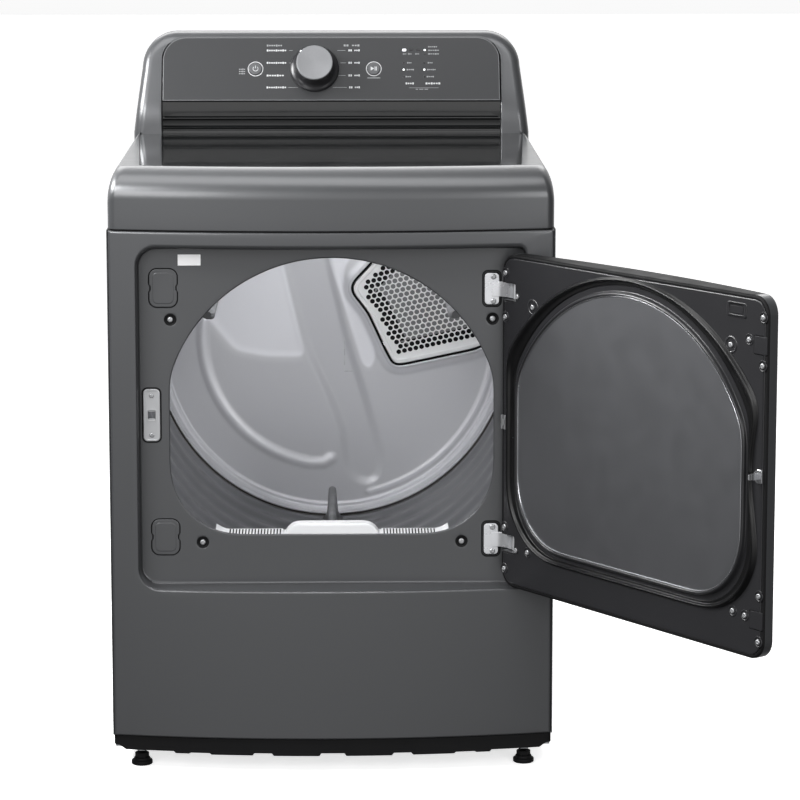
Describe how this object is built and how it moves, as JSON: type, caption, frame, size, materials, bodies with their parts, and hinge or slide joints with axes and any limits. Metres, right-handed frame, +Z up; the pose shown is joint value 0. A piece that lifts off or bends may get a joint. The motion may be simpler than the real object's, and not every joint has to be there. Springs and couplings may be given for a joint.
{
  "type": "clothes dryer",
  "caption": "Front-loading vented tumble dryer with a bowed steel cabinet, rear console with dial, drum, and a side-hinged door that stands open.",
  "frame": {"origin": "middle of the footprint of the whole dryer on the floor, with the door open", "axes": "+Z up, +Y to the rear of the dryer, along the exhaust outlet, +X to the hinge side"},
  "size_m": [0.9656, 1.1947, 1.11],
  "materials": {
    "dark_paint": "dark metallic grey, satin",
    "galvanised": "galvanised sheet",
    "black_plastic": "black, glossy",
    "console_face": "dark grey film over moulded plastic",
    "circuit_board": "green board",
    "light_pipe": "clear white",
    "knob_metal": "spun silver cap on a dark skirt",
    "button_plastic": "dark grey",
    "bulkhead_steel": "light grey coated steel",
    "pale_plastic": "light grey moulded",
    "drum_steel": "grey coated steel",
    "lifter_plastic": "dark grey moulded",
    "felt": "dark felt",
    "belt_rubber": "black",
    "motor_metal": "plain",
    "heater_wire": "resistance wire",
    "inner_panel": "dark satin metal",
    "bright_steel": "bright plated"
  },
  "bodies": {
    "cabinet": {"side_panel_left": "dark_paint", "side_panel_right": "dark_paint", "rear_panel": "galvanised", "base_pan": "galvanised", "kick_plate": "black_plastic", "front_panel": "dark_paint", "top_cover": "dark_paint", "foot_lock_nuts": "bright_steel", "console_housing": "dark_paint", "console_rear_cover": "black_plastic", "control_panel": "console_face", "control_board": "circuit_board", "indicator_lights": "light_pipe", "rotary_switch": "bright_steel", "front_bulkhead": "galvanised", "rear_bulkhead": "bulkhead_steel", "inlet_grille": "pale_plastic", "drum_felts": "felt", "drum_belt": "belt_rubber", "motor": "motor_metal", "motor_bracket": "galvanised", "blower_housing": "black_plastic", "idler_spring": "bright_steel", "roller_axles": "motor_metal", "heater_box": "galvanised", "heater_coil": "heater_wire", "exhaust_duct": "galvanised", "exhaust_collar": "galvanised", "filter_housing": "pale_plastic", "hinge_brackets": "bright_steel", "latch_plate": "bright_steel", "blanking_plates": "dark_paint", "cabinet_screws": "bright_steel", "terminal_block": "black_plastic"},
    "door": {"door_outer_panel": "dark_paint", "door_liner": "black_plastic", "door_inner_panel": "inner_panel", "door_gasket": "belt_rubber", "door_strike": "bright_steel", "door_edge_caps": "black_plastic", "hinge_pins": "bright_steel", "door_screws": "bright_steel"},
    "drum": {"drum_shell": "drum_steel", "drum_lifters": "lifter_plastic"},
    "motor_rotor": {"motor_shaft": "motor_metal", "blower_wheel": "black_plastic"},
    "idler_lever": {"idler_arm": "galvanised"},
    "idler_wheel": {"idler_pulley": "black_plastic"},
    "dial": {"dial_knob": "knob_metal"},
    "power_key": {"power_button": "button_plastic"},
    "start_key": {"start_button": "button_plastic"},
    "filter": {"lint_filter": "pale_plastic"},
    "roller_front_left_body": {"roller_front_left": "belt_rubber"},
    "foot_front_left_body": {"foot_front_left": "black_plastic"},
    "roller_front_right_body": {"roller_front_right": "belt_rubber"},
    "foot_front_right_body": {"foot_front_right": "black_plastic"},
    "roller_rear_left_body": {"roller_rear_left": "belt_rubber"},
    "foot_rear_left_body": {"foot_rear_left": "black_plastic"},
    "roller_rear_right_body": {"roller_rear_right": "belt_rubber"},
    "foot_rear_right_body": {"foot_rear_right": "black_plastic"}
  },
  "joints": [
    {"name": "door_hinge", "type": "hinge", "parent": "cabinet", "child": "door", "pos_m": [0.14118, -0.12291, 0.56], "axis": [0, 0, 1], "range_deg": [-126, 0]},
    {"name": "drum_spin", "type": "hinge", "parent": "cabinet", "child": "drum", "pos_m": [-0.13982, 0.21509, 0.59], "axis": [0, 1, 0], "continuous": true},
    {"name": "roller_front_left_spin", "type": "hinge", "parent": "cabinet", "child": "roller_front_left_body", "pos_m": [-0.33931, -0.03591, 0.3051], "axis": [0, 1, 0], "continuous": true},
    {"name": "roller_front_right_spin", "type": "hinge", "parent": "cabinet", "child": "roller_front_right_body", "pos_m": [0.05967, -0.03591, 0.3051], "axis": [0, 1, 0], "continuous": true},
    {"name": "roller_rear_left_spin", "type": "hinge", "parent": "cabinet", "child": "roller_rear_left_body", "pos_m": [-0.33931, 0.41809, 0.3051], "axis": [0, 1, 0], "continuous": true},
    {"name": "roller_rear_right_spin", "type": "hinge", "parent": "cabinet", "child": "roller_rear_right_body", "pos_m": [0.05967, 0.41809, 0.3051], "axis": [0, 1, 0], "continuous": true},
    {"name": "motor_spin", "type": "hinge", "parent": "cabinet", "child": "motor_rotor", "pos_m": [-0.13982, 0.21509, 0.15], "axis": [0, 1, 0], "continuous": true},
    {"name": "idler_swing", "type": "hinge", "parent": "cabinet", "child": "idler_lever", "pos_m": [-0.32982, 0.33109, 0.12], "axis": [0, -1, 0], "range_deg": [0, 12], "stiffness_Nm_per_rad": 0.6, "springref_deg": -22.92},
    {"name": "idler_wheel_spin", "type": "hinge", "parent": "idler_lever", "child": "idler_wheel", "pos_m": [-0.28301, 0.34909, 0.24138], "axis": [0, 1, 0], "continuous": true},
    {"name": "dial_turn", "type": "hinge", "parent": "cabinet", "child": "dial", "pos_m": [-0.16782, 0.47575, 1.05124], "axis": [0, -0.9063, 0.4226], "continuous": true},
    {"name": "power_press", "type": "slide", "parent": "cabinet", "child": "power_key", "axis": [0, 0.9063, -0.4226], "range_m": [0, 0.0015], "stiffness_N_per_m": 900, "springref_m": -0.001},
    {"name": "start_press", "type": "slide", "parent": "cabinet", "child": "start_key", "axis": [0, 0.9063, -0.4226], "range_m": [0, 0.0015], "stiffness_N_per_m": 900, "springref_m": -0.001},
    {"name": "lint_filter_lift", "type": "slide", "parent": "cabinet", "child": "filter", "axis": [0, 0, 1], "range_m": [0, 0.27]},
    {"name": "foot_front_left_screw", "type": "slide", "parent": "cabinet", "child": "foot_front_left_body", "axis": [0, 0, -1], "range_m": [0, 0.015]},
    {"name": "foot_front_right_screw", "type": "slide", "parent": "cabinet", "child": "foot_front_right_body", "axis": [0, 0, -1], "range_m": [0, 0.015]},
    {"name": "foot_rear_left_screw", "type": "slide", "parent": "cabinet", "child": "foot_rear_left_body", "axis": [0, 0, -1], "range_m": [0, 0.015]},
    {"name": "foot_rear_right_screw", "type": "slide", "parent": "cabinet", "child": "foot_rear_right_body", "axis": [0, 0, -1], "range_m": [0, 0.015]}
  ],
  "couplings": [
    {"joint": "roller_front_left_spin", "follows": "drum_spin", "ratio": -8.1447},
    {"joint": "roller_front_right_spin", "follows": "drum_spin", "ratio": -8.1447},
    {"joint": "roller_rear_left_spin", "follows": "drum_spin", "ratio": -8.1447},
    {"joint": "roller_rear_right_spin", "follows": "drum_spin", "ratio": -8.1447},
    {"joint": "motor_spin", "follows": "drum_spin", "ratio": 28.227},
    {"joint": "idler_wheel_spin", "follows": "drum_spin", "ratio": -10.397}
  ]
}
